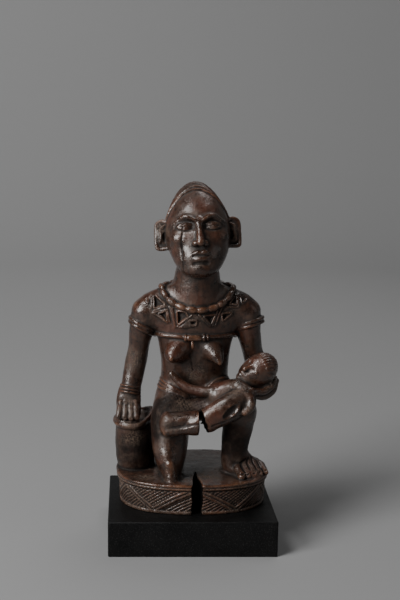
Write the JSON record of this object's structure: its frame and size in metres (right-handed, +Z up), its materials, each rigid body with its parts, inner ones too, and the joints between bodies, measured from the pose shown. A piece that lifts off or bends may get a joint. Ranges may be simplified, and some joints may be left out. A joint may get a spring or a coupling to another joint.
{
  "type": "carved wooden maternity figure",
  "caption": "Carved wooden kneeling mother with a child across her lap and a hand on a pot, on an oval carved base and a black rectangular plinth.",
  "frame": {"origin": "centre of the plinth's underside", "axes": "+Z up along the figure, -Y towards the front, which the mother faces, +X towards her left"},
  "size_m": [0.1376, 0.107, 0.2895],
  "materials": {
    "carved_wood": "dark brown, nearly black patina, glossy on the high places and matt in the hollows, with worn reddish brown edges",
    "black_plinth": "satin black paint"
  },
  "bodies": {
    "root": {"maternity_figure": "carved_wood", "plinth": "black_plinth"}
  },
  "joints": []
}
